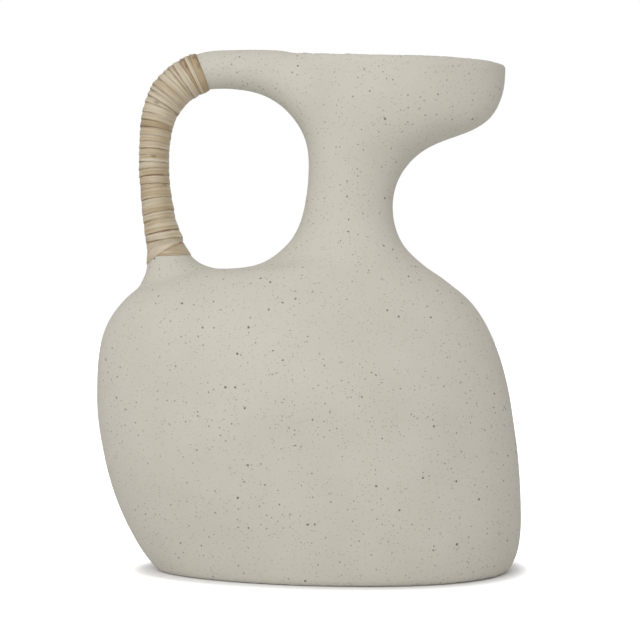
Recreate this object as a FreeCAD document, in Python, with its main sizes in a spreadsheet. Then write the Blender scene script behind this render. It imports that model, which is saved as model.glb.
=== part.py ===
import FreeCAD, Part
import Sketcher
import math
import os

# Jug vase of speckled stoneware: a broad flat body on a narrower foot, a neck that opens into
# a wide lip on the right, and a loop handle on the left that is bound with a strip of cane.
# Millimetres, +Z up, front view along +Y, origin on the surface below the middle of the jug.

document = FreeCAD.newDocument("jug_vase")
sheet = document.addObject("Spreadsheet::Sheet", "sizes")
Vector = FreeCAD.Vector

SIZES = (
    ("rim_height", 242.0, "foot to the level part of the rim"),
    ("arch_rise", 8.0, "rim to the top of the handle"),
    ("body_width", 204.4, "body, left to right"),
    ("body_depth", 96.4, "body, front to back"),
    ("wall", 5.0, "thickness of the fired clay"),
    ("base_round", 2.5, "rounding where the body meets its foot"),
    ("rim_round", 1.5, "rounding of both edges of the rim"),
    ("root_round", 5.0, "rounding where the handle grows out of the body"),
    ("rim_blend", 255.0, "radius in which the rim climbs to the handle"),
    ("rim_clear", 0.4, "end of that curve above the top of the handle"),
    ("foot_ring", 8.0, "land that the jug stands on"),
    ("foot_recess", 1.5, "hollow inside the foot ring"),
    ("handle_thickness", 13.2, "bare handle, seen from the front"),
    ("handle_depth", 16.8, "bare handle, front to back"),
    ("overrun", 15.0, "how far a cut runs past the clay"),
    ("cane_thickness", 0.8, "strip of cane"),
    ("cane_gap", 0.75, "between two turns on the middle line of the handle"),
    ("cane_clearance", 0.2, "between the cane and the clay"),
)
CANE_TURNS = 24

for row, (name, value, note) in enumerate(SIZES, start=1):
    sheet.set("A%d" % row, name)
    sheet.set("B%d" % row, str(value))
    sheet.setAlias("B%d" % row, name)
    sheet.set("C%d" % row, note)
sheet.recompute()
document.recompute()


def size(name):
    return float(sheet.get(name))


# Outside of body, neck and lip: level as a share of rim_height, left and right edge as shares
# of body_width from the middle, half depth as a share of body_depth.
OUTSIDE_SHARES = (
    (0.0000, -0.3536, 0.4700, 0.4461),
    (0.0129, -0.3678, 0.4783, 0.4533),
    (0.0388, -0.3925, 0.4903, 0.4658),
    (0.0965, -0.4302, 0.4983, 0.4813),
    (0.1563, -0.4590, 0.4974, 0.4907),
    (0.2160, -0.4783, 0.4931, 0.4969),
    (0.2757, -0.4917, 0.4846, 0.5000),
    (0.3354, -0.4985, 0.4747, 0.4990),
    (0.3951, -0.4976, 0.4590, 0.4865),
    (0.4449, -0.4903, 0.4401, 0.4668),
    (0.4946, -0.4703, 0.4125, 0.4336),
    (0.5344, -0.4349, 0.3777, 0.3921),
    (0.5603, -0.3972, 0.3416, 0.3527),
    (0.5802, -0.3430, 0.3110, 0.3195),
    (0.5922, -0.2747, 0.2897, 0.2967),
    (0.6001, -0.1898, 0.2768, 0.2801),
    (0.6081, -0.1321, 0.2657, 0.2656),
    (0.6200, -0.0956, 0.2499, 0.2469),
    (0.6379, -0.0649, 0.2292, 0.2241),
    (0.6638, -0.0366, 0.2108, 0.1992),
    (0.7036, -0.0159, 0.1985, 0.1784),
    (0.7534, -0.0051, 0.2030, 0.1743),
    (0.8032, -0.0018, 0.2332, 0.1909),
    (0.8370, -0.0048, 0.2815, 0.2137),
    (0.8649, -0.0098, 0.3593, 0.2344),
    (0.8927, -0.0178, 0.4205, 0.2552),
    (0.9266, -0.0263, 0.4481, 0.2728),
    (0.9604, -0.0343, 0.4597, 0.2842),
    (0.9982, -0.0425, 0.4658, 0.2915),
    (1.0360, -0.0496, 0.4700, 0.2967),
    (1.0719, -0.0555, 0.4731, 0.2998),
)

RING_POINTS = 8
FITTING_ROUNDS = 6


def tube_surface(poles):
    # Smooth along the tube and closed round it, each row of poles being one ring.
    surface = Part.BSplineSurface()
    surface.buildFromPolesMultsKnots(
        [[row[j] for row in poles] for j in range(RING_POINTS)],
        [1] * (RING_POINTS + 1),
        [4] + [1] * (len(poles) - 4) + [4],
        list(range(RING_POINTS + 1)),
        list(range(len(poles) - 2)),
        True,
        False,
        3,
        3,
    )
    return surface


def ring_parameter(j):
    return (j + RING_POINTS - 1) % RING_POINTS


def row_parameter(i, count):
    # Each pole acts most at the mean of the three knots that follow its own.
    last = count - 3
    return sum(min(max(i + step, 0), last) for step in (-2, -1, 0)) / 3


def surface_through(rows):
    poles = [list(row) for row in rows]
    for attempt in range(FITTING_ROUNDS):
        surface = tube_surface(poles)
        for i, row in enumerate(rows):
            v = row_parameter(i, len(rows))
            for j, point in enumerate(row):
                poles[i][j] = poles[i][j] + point - surface.value(ring_parameter(j), v)
    return tube_surface(poles)


def ring(middle, outward, half_thickness, half_depth):
    angles = [2 * math.pi * j / RING_POINTS for j in range(RING_POINTS)]
    return [
        middle
        + outward * (half_thickness * math.cos(angle))
        + Vector(0, half_depth * math.sin(angle), 0)
        for angle in angles
    ]


def below(surface, row_count, depth):
    # The same surface moved inwards by a depth that is square to it. Its end rings stay level.
    rows = []
    for i in range(row_count):
        v = row_parameter(i, row_count)
        row = []
        for j in range(RING_POINTS):
            u = ring_parameter(j)
            out = surface.getDN(u, v, 1, 0).cross(surface.getDN(u, v, 0, 1))
            if i in (0, row_count - 1):
                out.z = 0
            row.append(surface.value(u, v) - out.normalize() * depth)
        rows.append(row)
    return surface_through(rows)


def closed_tube(surface):
    side = surface.toShape()
    ends = [Part.Face(Part.Wire(edge)) for edge in side.Edges if edge.isClosed()]
    skin = Part.makeCompound([side] + ends)
    skin.sewShape()
    return Part.Solid(skin.Shells[0])


def body_rings():
    rings = []
    for level_share, left_share, right_share, depth_share in OUTSIDE_SHARES:
        left = size("body_width") * left_share
        right = size("body_width") * right_share
        middle = Vector((left + right) / 2, 0, size("rim_height") * level_share)
        rings.append(ring(middle, Vector(1, 0, 0), (right - left) / 2, size("body_depth") * depth_share))
    return rings


outside = document.addObject("Part::Feature", "outside")
outside_surface = surface_through(body_rings())
outside.Shape = closed_tube(outside_surface)

# The hollow keeps the wall's thickness everywhere, and the floor is as thick as the wall.
hollow_form = document.addObject("Part::Feature", "hollow_form")
hollow_form.Shape = closed_tube(below(outside_surface, len(OUTSIDE_SHARES), size("wall")))
floor_clay = document.addObject("Part::Box", "floor_clay")
floor_clay.setExpression("Length", "sizes.body_width * 2")
floor_clay.setExpression("Width", "sizes.body_depth * 2")
floor_clay.setExpression("Height", "sizes.wall + sizes.overrun")
floor_clay.setExpression(".Placement.Base.x", "-sizes.body_width")
floor_clay.setExpression(".Placement.Base.y", "-sizes.body_depth")
floor_clay.setExpression(".Placement.Base.z", "-sizes.overrun")
inside = document.addObject("Part::Cut", "inside")
inside.Base = hollow_form
inside.Tool = floor_clay

# The handle is one tube closed round its section. Each row: middle of the section as shares of
# body_width and rim_height, share of arch_rise added to its height, direction from the inner
# side to the outer side in degrees, thickness and depth as shares of the bare handle's.
HANDLE_SHARES = (
    (-0.2676, 0.5245, 0.00, 191.0, 4.981, 2.143),
    (-0.2870, 0.5668, 0.00, 188.4, 3.633, 1.845),
    (-0.3080, 0.5923, 0.00, 186.0, 2.470, 1.524),
    (-0.3227, 0.6116, 0.00, 181.7, 1.855, 1.333),
    (-0.3339, 0.6373, 0.05, 181.4, 1.347, 1.190),
    (-0.3434, 0.6635, 0.13, 183.2, 1.159, 1.095),
    (-0.3508, 0.6892, 0.21, 184.4, 1.040, 1.036),
    (-0.3593, 0.7332, 0.34, 181.9, 0.964, 1.000),
    (-0.3647, 0.7813, 0.48, 180.0, 0.956, 1.000),
    (-0.3619, 0.8299, 0.62, 175.4, 0.974, 1.000),
    (-0.3534, 0.8708, 0.74, 165.1, 1.055, 1.012),
    (-0.3345, 0.9068, 0.85, 151.2, 1.179, 1.024),
    (-0.3055, 0.9333, 0.93, 139.3, 1.319, 1.048),
    (-0.2691, 0.9507, 0.98, 127.7, 1.379, 1.071),
    (-0.2281, 0.9592, 1.00, 115.4, 1.487, 1.107),
    (-0.1875, 0.9610, 1.00, 101.6, 1.453, 1.167),
    (-0.1427, 0.9587, 1.00, 92.7, 1.538, 1.262),
    (-0.0979, 0.9531, 0.98, 87.6, 1.724, 1.357),
    (-0.0602, 0.9429, 0.95, 83.5, 1.946, 1.476),
    (-0.0237, 0.9247, 0.90, 79.4, 2.190, 1.607),
    (0.0093, 0.9011, 0.83, 75.6, 2.487, 1.702),
    (0.0541, 0.8792, 0.77, 74.4, 2.577, 1.607),
)


def handle_rings():
    rings = []
    for across_share, level_share, rise_share, tilt, thickness_share, depth_share in HANDLE_SHARES:
        middle = Vector(
            size("body_width") * across_share,
            0,
            size("rim_height") * level_share + size("arch_rise") * rise_share,
        )
        outward = Vector(math.cos(math.radians(tilt)), 0, math.sin(math.radians(tilt)))
        half_thickness = size("handle_thickness") * thickness_share / 2
        half_depth = size("handle_depth") * depth_share / 2
        rings.append(ring(middle, outward, half_thickness, half_depth))
    return rings


handle = document.addObject("Part::Feature", "handle")
handle_surface = surface_through(handle_rings())
handle.Shape = closed_tube(handle_surface)

hollow = document.addObject("Part::Cut", "hollow")
hollow.Base = outside
hollow.Tool = inside

# The jug stands on a ring; the clay inside it is pared away.
foot_left_share, foot_right_share, foot_depth_share = OUTSIDE_SHARES[0][1:]
foot_half_share = (foot_right_share - foot_left_share) / 2
foot_middle_share = (foot_right_share + foot_left_share) / 2
pared_outline = document.addObject("Part::Ellipse", "pared_outline")
pared_outline.setExpression("MajorRadius", "sizes.body_width * %s - sizes.foot_ring" % foot_half_share)
pared_outline.setExpression("MinorRadius", "sizes.body_depth * %s - sizes.foot_ring" % foot_depth_share)
pared_outline.setExpression(".Placement.Base.x", "sizes.body_width * %s" % foot_middle_share)
pared = document.addObject("Part::Extrusion", "pared")
pared.Base = pared_outline
pared.DirMode = "Custom"
pared.Dir = Vector(0, 0, 1)
pared.Solid = True
pared.setExpression("LengthFwd", "sizes.foot_recess")
footed = document.addObject("Part::Cut", "footed")
footed.Base = hollow
footed.Tool = pared
document.recompute()

pot = document.addObject("PartDesign::Body", "pot")
pot.BaseFeature = footed
document.recompute()


def origin_plane(body, role):
    return [feature for feature in body.Origin.OriginFeatures if feature.Role == role][0]


# The rim is cut level over the lip and climbs in a large arc to the top of the handle.
RIM_START_SHARE = 0.213
rim_line = pot.newObject("Sketcher::SketchObject", "rim_line")
rim_line.AttachmentSupport = [(origin_plane(pot, "XZ_Plane"), "")]
rim_line.MapMode = "FlatFace"
start_x = size("body_width") * RIM_START_SHARE
right_x = size("body_width") / 2 + size("overrun")
rim_z = size("rim_height")
climb = size("arch_rise") + size("rim_clear")
top_z = rim_z + climb + size("overrun")
radius = size("rim_blend")
run = math.sqrt(2 * radius * climb - climb ** 2)
turn = math.asin(run / radius)
circle = Part.Circle(Vector(start_x, rim_z + radius, 0), Vector(0, 0, 1), radius)
corner = Vector(right_x, rim_z, 0)
begin = Vector(start_x, rim_z, 0)
crest = Vector(start_x - run, rim_z + climb, 0)
crest_left = Vector(-right_x, rim_z + climb, 0)
upper_left = Vector(-right_x, top_z, 0)
upper_right = Vector(right_x, top_z, 0)
rim_line.addGeometry([
    Part.LineSegment(corner, begin),
    Part.ArcOfCircle(circle, -math.pi / 2 - turn, -math.pi / 2),
    Part.LineSegment(crest, crest_left),
    Part.LineSegment(crest_left, upper_left),
    Part.LineSegment(upper_left, upper_right),
    Part.LineSegment(upper_right, corner),
])
LEVEL, CLIMB, CREST, LEFT_SIDE, TOP_SIDE, RIGHT_SIDE = range(6)
ORIGIN = (-1, 1)


def start_of(line):
    return line, 1


def end_of(line):
    return line, 2


rim_line.addConstraint([
    Sketcher.Constraint("Tangent", *end_of(LEVEL), *end_of(CLIMB)),
    Sketcher.Constraint("Coincident", *start_of(CLIMB), *start_of(CREST)),
    Sketcher.Constraint("Coincident", *end_of(CREST), *start_of(LEFT_SIDE)),
    Sketcher.Constraint("Coincident", *end_of(LEFT_SIDE), *start_of(TOP_SIDE)),
    Sketcher.Constraint("Coincident", *end_of(TOP_SIDE), *start_of(RIGHT_SIDE)),
    Sketcher.Constraint("Coincident", *end_of(RIGHT_SIDE), *start_of(LEVEL)),
    Sketcher.Constraint("Horizontal", LEVEL),
    Sketcher.Constraint("Horizontal", CREST),
    Sketcher.Constraint("Vertical", LEFT_SIDE),
    Sketcher.Constraint("Horizontal", TOP_SIDE),
    Sketcher.Constraint("Vertical", RIGHT_SIDE),
])


def tie(name, constraint, expression):
    number = rim_line.addConstraint(constraint)
    rim_line.renameConstraint(number, name)
    rim_line.setExpression("Constraints." + name, expression)


across_start = Sketcher.Constraint("DistanceX", *ORIGIN, *end_of(LEVEL), start_x)
up_start = Sketcher.Constraint("DistanceY", *ORIGIN, *end_of(LEVEL), rim_z)
across_corner = Sketcher.Constraint("DistanceX", *ORIGIN, *start_of(LEVEL), right_x)
across_left = Sketcher.Constraint("DistanceX", *end_of(CREST), *ORIGIN, right_x)
curve = Sketcher.Constraint("Radius", CLIMB, radius)
up_curve = Sketcher.Constraint("DistanceY", *end_of(LEVEL), *start_of(CLIMB), climb)
up_corner = Sketcher.Constraint("DistanceY", *start_of(LEVEL), *start_of(RIGHT_SIDE), top_z - rim_z)
tie("start_x", across_start, "sizes.body_width * %s" % RIM_START_SHARE)
tie("rim_z", up_start, "sizes.rim_height")
tie("right_x", across_corner, "sizes.body_width / 2 + sizes.overrun")
tie("left_x", across_left, "sizes.body_width / 2 + sizes.overrun")
tie("radius", curve, "sizes.rim_blend")
tie("climb", up_curve, "sizes.arch_rise + sizes.rim_clear")
tie("top_z", up_corner, "sizes.arch_rise + sizes.rim_clear + sizes.overrun")
document.recompute()
rim_cut = pot.newObject("PartDesign::Pocket", "rim_cut")
rim_cut.Profile = rim_line
rim_cut.Midplane = True
rim_cut.setExpression("Length", "sizes.body_depth + 2 * sizes.overrun")
document.recompute()


def edge_names(shape, wanted):
    return ["Edge%d" % number for number, edge in enumerate(shape.Edges, start=1) if wanted(edge)]


def on_foot(edge):
    # The outer one of the two loops that lie on the surface.
    box = edge.BoundBox
    least_width = size("body_width") * foot_half_share * 2 - size("foot_ring")
    return edge.isClosed() and box.ZMax < size("foot_recess") / 2 and box.XLength > least_width


base_fillet = pot.newObject("PartDesign::Fillet", "base_fillet")
base_fillet.Base = (rim_cut, edge_names(rim_cut.Shape, on_foot))
base_fillet.setExpression("Radius", "sizes.base_round")
document.recompute()


def rim_surface(x):
    if x >= start_x:
        return rim_z
    if x <= start_x - run:
        return rim_z + climb
    return rim_z + radius - math.sqrt(radius ** 2 - (start_x - x) ** 2)


def on_rim(edge):
    # The inner and the outer edge of the rim, without the short seams that cross it.
    seam_length = size("wall") * 2
    close = size("rim_clear") / 4
    points = edge.discretize(RING_POINTS)
    return edge.Length > seam_length and all(abs(p.z - rim_surface(p.x)) < close for p in points)


rim_fillet = pot.newObject("PartDesign::Fillet", "rim_fillet")
rim_fillet.Base = (base_fillet, edge_names(base_fillet.Shape, on_rim))
rim_fillet.setExpression("Radius", "sizes.rim_round")
document.recompute()

# The handle is luted on: it ends half way through the wall.
half_wall = document.addObject("Part::Feature", "half_wall")
half_wall.Shape = closed_tube(below(outside_surface, len(OUTSIDE_SHARES), size("wall") / 2))
handle_outside = document.addObject("Part::Cut", "handle_outside")
handle_outside.Base = handle
handle_outside.Tool = half_wall
joined = document.addObject("Part::Fuse", "joined")
joined.Base = pot
joined.Tool = handle_outside
document.recompute()

vessel = document.addObject("PartDesign::Body", "vessel_body")
vessel.BaseFeature = joined
vessel.Label = "vessel"
document.recompute()
SHOULDER_SHARE = 0.5


def at_root(edge):
    # The loop in which the lower end of the handle meets the shoulder.
    box = edge.BoundBox
    return edge.isClosed() and box.XMax < 0 and box.ZMin > size("rim_height") * SHOULDER_SHARE


grown = vessel.Tip
root_fillet = vessel.newObject("PartDesign::Fillet", "root_fillet")
root_fillet.Base = (grown, edge_names(grown.Shape, at_root))
root_fillet.setExpression("Radius", "sizes.root_round")
document.recompute()

# The cane: one flat strip wound round the handle from its lower end to the top of the arch. It
# follows the handle's own surface. Where the handle bends, the turns crowd on the inner side and
# spread on the outer side, and the strip with them. Its ends are shares of the whole handle.
WRAP_START_SHARE = 0.111
WRAP_END_SHARE = 0.605
STEPS_PER_TURN = 16
MIDDLE_STEPS = 400


def middle_point(v):
    return (handle_surface.value(0, v) + handle_surface.value(RING_POINTS / 2, v)) / 2


# Length of the handle's middle line from the start of the wrap, against the surface's parameter.
last_v = row_parameter(len(HANDLE_SHARES) - 1, len(HANDLE_SHARES))
step_v = last_v * (WRAP_END_SHARE - WRAP_START_SHARE) / MIDDLE_STEPS
middle_v = [last_v * WRAP_START_SHARE + step_v * i for i in range(MIDDLE_STEPS + 1)]
middle_length = [0]
for before, after in zip(middle_v, middle_v[1:]):
    middle_length.append(middle_length[-1] + (middle_point(after) - middle_point(before)).Length)
wrap_length = middle_length[-1]
cane_pitch = (wrap_length + size("cane_gap")) / (CANE_TURNS + 1)
cane_width = cane_pitch - size("cane_gap")


def parameter_at(length):
    upper = next((i for i in range(1, MIDDLE_STEPS) if middle_length[i] >= length), MIDDLE_STEPS)
    share = (length - middle_length[upper - 1]) / (middle_length[upper] - middle_length[upper - 1])
    return middle_v[upper - 1] + (middle_v[upper] - middle_v[upper - 1]) * share


def cane_section(turns):
    # Four corners of the strip where it has made this many turns, counted at the outer side.
    u = (turns * RING_POINTS + ring_parameter(0)) % RING_POINTS
    v = parameter_at(cane_width / 2 + cane_pitch * turns)
    place = handle_surface.value(u, v)
    along_handle = handle_surface.getDN(u, v, 0, 1)
    round_handle = handle_surface.getDN(u, v, 1, 0)
    out = round_handle.cross(along_handle).normalize()
    if out.dot(place - middle_point(v)) < 0:
        out = -out
    middle_step = middle_point(v + step_v / 2) - middle_point(v - step_v / 2)
    spread = along_handle.Length * step_v / middle_step.Length
    side = along_handle.normalize() * (cane_width * spread / 2)
    # The straight steps of the strip stay clear of the rounder clay below.
    bulge = size("handle_depth") / 2 * (1 - math.cos(math.pi / STEPS_PER_TURN))
    low = out * (size("cane_clearance") + bulge)
    high = low + out * size("cane_thickness")
    return [place + low - side, place + low + side, place + high + side, place + high - side]


sections = [cane_section(i / STEPS_PER_TURN) for i in range(CANE_TURNS * STEPS_PER_TURN + 1)]
cane = document.addObject("Part::Feature", "cane")
cane.Shape = Part.makeLoft([Part.makePolygon(corners + corners[:1]) for corners in sections], True, True)
cane.Placement = FreeCAD.Placement()
cane.Label = "cane_wrap"

least_gap = min(
    (here - there).Length
    for i, low_turn in enumerate(sections)
    for high_turn in sections[i + STEPS_PER_TURN // 2:i + STEPS_PER_TURN * 3 // 2 + 1]
    for here in low_turn
    for there in high_turn
)
print("cane: pitch %.2f mm, width %.2f mm, least gap to itself %.2f mm" % (cane_pitch, cane_width, least_gap))
document.recompute()

# Every feature has to be whole before anything is written.
for feature in document.Objects:
    if "Invalid" in feature.State or "Error" in feature.State:
        raise RuntimeError("%s did not build: %s" % (feature.Name, feature.State))
pieces = (vessel, cane)
for piece in pieces:
    if piece.Shape.isNull() or not piece.Shape.isValid() or len(piece.Shape.Solids) != 1:
        raise RuntimeError("%s is not one whole solid" % piece.Label)
os.makedirs("parts", exist_ok=True)
for piece in pieces:
    piece.Shape.exportStep(os.path.join("parts", piece.Label + ".step"))
    print("%s: %.0f mm3" % (piece.Label, piece.Shape.Volume))
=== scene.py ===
import math
import random
from types import SimpleNamespace

import bmesh
import bpy
import numpy as np
from mathutils import Matrix, Vector, noise
from mathutils.bvhtree import BVHTree


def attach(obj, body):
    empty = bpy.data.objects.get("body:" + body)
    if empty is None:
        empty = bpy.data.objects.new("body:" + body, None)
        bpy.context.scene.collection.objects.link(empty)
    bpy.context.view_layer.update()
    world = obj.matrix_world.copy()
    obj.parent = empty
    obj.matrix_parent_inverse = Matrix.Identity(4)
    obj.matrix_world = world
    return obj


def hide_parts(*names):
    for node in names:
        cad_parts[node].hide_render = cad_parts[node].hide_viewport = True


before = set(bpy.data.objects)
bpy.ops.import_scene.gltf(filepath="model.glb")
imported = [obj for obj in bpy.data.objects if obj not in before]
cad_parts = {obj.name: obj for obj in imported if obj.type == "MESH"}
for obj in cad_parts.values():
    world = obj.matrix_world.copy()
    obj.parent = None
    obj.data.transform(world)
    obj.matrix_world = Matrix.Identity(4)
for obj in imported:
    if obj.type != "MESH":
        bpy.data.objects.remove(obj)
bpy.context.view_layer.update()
scene = bpy.context.scene

# The picture. The jug stands square to it, seen level from a little over half a metre. A place in
# the picture, in pixels, is turned into metres on the jug's middle plane.
PICTURE_SIDE = 640
METRES_PER_PIXEL = 0.25 / 519
MIDDLE_COLUMN = 308.6
FLOOR_ROW = 568.5
CAMERA_DISTANCE = 0.63
SENSOR_WIDTH = 36.0


def at_pixel(column, row):
    return Vector(((column - MIDDLE_COLUMN) * METRES_PER_PIXEL, 0, (FLOOR_ROW - row) * METRES_PER_PIXEL))


camera_data = bpy.data.cameras.new("camera")
camera_data.sensor_width = SENSOR_WIDTH
camera_data.lens = SENSOR_WIDTH * CAMERA_DISTANCE / (PICTURE_SIDE * METRES_PER_PIXEL)
camera = bpy.data.objects.new("camera", camera_data)
camera.location = at_pixel(PICTURE_SIDE / 2, PICTURE_SIDE / 2) + Vector((0, -CAMERA_DISTANCE, 0))
camera.rotation_euler = (math.radians(90), 0, 0)
scene.collection.objects.link(camera)
scene.camera = camera


# The studio. A plain white table that runs out of sight and glows to the camera, with a painted
# contact shadow round the foot, a white surround, a wide soft light from the left in front, a weaker
# one from behind, and a soft lamp near the neck, as for a picture on white.
FLOOR_RADIUS = 6.0
FLOOR_SIDES = 96
# The painted contact shadow on the table: how far its occlusion reaches, the levels it opens between, how it
# falls off, and the table's least and most glow.
TABLE_SHADE_REACH = 0.012
TABLE_OPEN = (0.48, 0.98)
TABLE_FALL = 1.6
TABLE_GLOW = (0.02, 0.70)
TABLE_WHITE = 0.88
TABLE_ROUGHNESS = 0.9
SURROUND_LIGHT = 0.53
SURROUND_SEEN = 1.0
# The strength of both wide lights, and their softness, height and turn in degrees.
WIDE_LIGHTS = (
    ("key_lamp", 0.85, 70, 45, -39),
    ("fill_lamp", 0.60, 80, 28, 150),
)
LAMP_POWER = 0.80
LAMP_SIDE = 0.35
LAMP_PLACE = Vector((-0.06, -0.45, 0.33))
LAMP_AIM = Vector((0.02, 0, 0.22))


def live_socket(sockets, name=None):
    # The socket in use, of those that a node keeps for other kinds of value.
    return next(socket for socket in sockets if socket.enabled and name in (None, socket.name))


def put(tree, kind, inputs=None, **settings):
    # A node with its settings, and its inputs given as values or as links from other sockets.
    made = tree.nodes.new(kind)
    for name, value in settings.items():
        setattr(made, name, value)
    for name, value in (inputs or {}).items():
        socket = made.inputs[name] if isinstance(name, int) else live_socket(made.inputs, name)
        if isinstance(value, bpy.types.NodeSocket):
            tree.links.new(value, socket)
        else:
            socket.default_value = value
    return made


def calc(tree, operation, *values):
    return put(tree, "ShaderNodeMath", dict(enumerate(values)), operation=operation).outputs[0]


def new_finish(name):
    finish = bpy.data.materials.new(name)
    finish.use_nodes = True
    return finish, finish.node_tree, finish.node_tree.nodes["Principled BSDF"]


floor_mesh = bpy.data.meshes.new("table_top")
floor_shape = bmesh.new()
bmesh.ops.create_circle(floor_shape, cap_ends=True, radius=FLOOR_RADIUS, segments=FLOOR_SIDES)
floor_shape.to_mesh(floor_mesh)
floor_shape.free()
floor = bpy.data.objects.new("table_top", floor_mesh)
scene.collection.objects.link(floor)
floor_paint, table, table_shader = new_finish("table_white")
table_shader.inputs["Roughness"].default_value = TABLE_ROUGHNESS
table_shader.inputs["Base Color"].default_value = (TABLE_WHITE, TABLE_WHITE, TABLE_WHITE, 1)
table_shader.inputs["Emission Color"].default_value = (1, 1, 1, 1)
# The table's glow, seen by the camera only, is painted light. Ambient occlusion dims it near the foot into a
# painted contact shadow.
table_open = put(table, "ShaderNodeAmbientOcclusion", {"Distance": TABLE_SHADE_REACH}).outputs["AO"]
table_share = put(
    table, "ShaderNodeMapRange",
    {"Value": table_open, "From Min": TABLE_OPEN[0], "From Max": TABLE_OPEN[1]}).outputs[0]
table_painted_glow = calc(
    table, "MULTIPLY_ADD",
    calc(table, "POWER", table_share, TABLE_FALL), TABLE_GLOW[1] - TABLE_GLOW[0], TABLE_GLOW[0])
table_seen = put(table, "ShaderNodeLightPath").outputs["Is Camera Ray"]
table.links.new(calc(table, "MULTIPLY", table_seen, table_painted_glow), table_shader.inputs["Emission Strength"])
floor_mesh.materials.append(floor_paint)

world = bpy.data.worlds.new("white_surround")
scene.world = world
world.use_nodes = True
sky = world.node_tree
seen = put(sky, "ShaderNodeLightPath").outputs["Is Camera Ray"]
light_level = calc(sky, "MULTIPLY_ADD", seen, SURROUND_SEEN - SURROUND_LIGHT, SURROUND_LIGHT)
background = sky.nodes["Background"]
background.inputs["Color"].default_value = (1, 1, 1, 1)
sky.links.new(light_level, background.inputs["Strength"])

for name, strength, softness, height, turn in WIDE_LIGHTS:
    wide_data = bpy.data.lights.new(name, "SUN")
    wide_data.energy = strength
    wide_data.angle = math.radians(softness)
    wide_light = bpy.data.objects.new(name, wide_data)
    wide_light.rotation_euler = (math.radians(90 - height), 0, math.radians(turn))
    scene.collection.objects.link(wide_light)
lamp_data = bpy.data.lights.new("neck_lamp", "AREA")
lamp_data.energy = LAMP_POWER
lamp_data.size = LAMP_SIDE
lamp = bpy.data.objects.new("neck_lamp", lamp_data)
lamp.location = LAMP_PLACE
lamp.rotation_euler = (LAMP_AIM - LAMP_PLACE).to_track_quat("-Z", "Y").to_euler()
lamp.visible_camera = False
scene.collection.objects.link(lamp)
scene.view_settings.view_transform = "Standard"
scene.view_settings.look = "None"


# The vessel: body, foot, neck, lip and loop handle, built of speckled stoneware clay in one piece,
# sponged smooth where the handle was luted on, and fired without a glaze.
MERGE_DISTANCE = 0.00001
CLAY_GRAIN = 0.0018
GRAIN_TURN = Matrix.Rotation(math.radians(33), 4, "Y") @ Matrix.Rotation(math.radians(21), 4, "X")
SPONGE_ROUNDS = 4
SMOOTHING = 0.5
UNEVENNESS = 0.00018
UNEVEN_LENGTH = 0.035
JOIN_PLACE = (-0.004, 0, 0.226)
JOIN_REACH = (0.030, 0.060, 0.036)
JOIN_TOP = 0.2475
JOIN_FADE = 0.010
JOIN_STEEPNESS = 1.6
JOIN_LEVELS = 10
JOIN_ROUNDS = 140
# Where the pot is pressed to line: the place, and how far right and how far down, in pixels.
PRESSES = (
    (187, 54, 0.7, 1.5), (173, 62, 0.4, 1.0), (203, 51, 0.2, 1.2), (221, 49, 0, 1.1), (237, 49, 0, 1.1),
    (253, 49, 0, 1.0), (268, 50, 0, 0.7), (281, 51, 0, 0.6), (291, 53, 0, -2.0), (298, 54, 0, -1.5),
    (313, 55, 0, -1.5), (326, 55, 0, -1.9), (339, 55, 0, -1.8), (355, 55, 0, -0.6), (371, 55, 0, -0.9),
    (387, 55, 0, -0.7), (403, 55, 0, -0.5), (418, 56, 0, -0.5), (434, 56, 0, 0), (464, 58, 0, 0.2),
    (479, 59, 0, 0.4), (494, 62, 0, 0.8), (505, 70, -1.2, 0.2), (502, 88, 0.9, 0.2),
    (498, 103, 0.6, 0.2), (490, 116, 0.4, 0.4), (476, 126, 0.5, 1.0), (461, 133, 0.2, 0.5),
    (446, 139, -0.2, -0.4), (432, 145, -0.2, -0.4), (418, 153, 0.4, 0.6), (407, 164, 0.5, 0.4),
    (399, 177, -0.2, -0.1), (393, 191, 0.4, 0), (391, 206, 0.5, 0), (398, 232, 0, 0),
    (407, 249, -0.5, 0.4), (418, 260, -0.5, 0.6), (430, 270, -0.2, 0.2), (443, 279, 0, 0),
    (218, 87, 0, 0.5), (233, 88, 0, 0.5), (248, 90, -0.1, 0.7), (263, 94, -0.4, 1.3),
    (277, 102, -0.9, 1.4), (289, 112, -1.0, 0.9), (298, 125, -0.5, 0.3), (305, 139, -1.1, 0.4),
    (308, 154, -0.4, 0), (308, 170, 0.8, 0), (307, 185, 0.7, 0.1), (305, 200, 0.6, 0.1),
    (302, 215, 0.7, 0.2), (296, 229, 1.0, 0.5), (287, 242, 1.2, 1.1), (275, 252, 1.4, 2.0),
    (260, 260, 1.2, 3.0), (244, 264, 0.5, 3.2), (229, 266, 0.3, 1.9), (208, 267, 0.2, -0.5),
    (195, 259, -0.6, 0.6), (180, 231, -0.7, 0.3), (171, 202, 0.5, -0.2), (169, 187, 0.8, 0),
    (168, 172, 0.7, 0), (169, 157, -0.6, 0), (173, 127, -0.6, -0.1), (189, 101, -0.2, -0.2),
    (146, 100, -1.2, -0.6), (142, 115, -0.7, -0.2), (139, 150, 0.2, 0), (139, 161, 0.4, 0),
    (140, 177, -0.2, 0), (141, 192, -0.9, 0), (142, 207, -1.0, 0), (144, 222, -0.4, 0),
    (146, 252, 1.0, 0), (145, 267, 2.0, 0.1), (141, 282, 0.5, 0.3), (119, 305, 0.4, 0.4),
    (110, 318, 0.5, 0.3), (104, 332, 0.3, 0.1), (98, 362, 0.6, 0.1), (96, 377, 1.0, 0),
    (96, 393, 1.0, 0), (97, 408, 0.4, 0), (101, 438, 0.3, 0), (116, 498, 0.2, 0), (136, 540, 0.4, 0),
    (515, 443, 0.4, 0), (519, 488, 0.3, 0), (519, 530, 0.5, 0),
)
PRESS_REACH = 14.0
PRESS_FADE = 0.15
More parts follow.
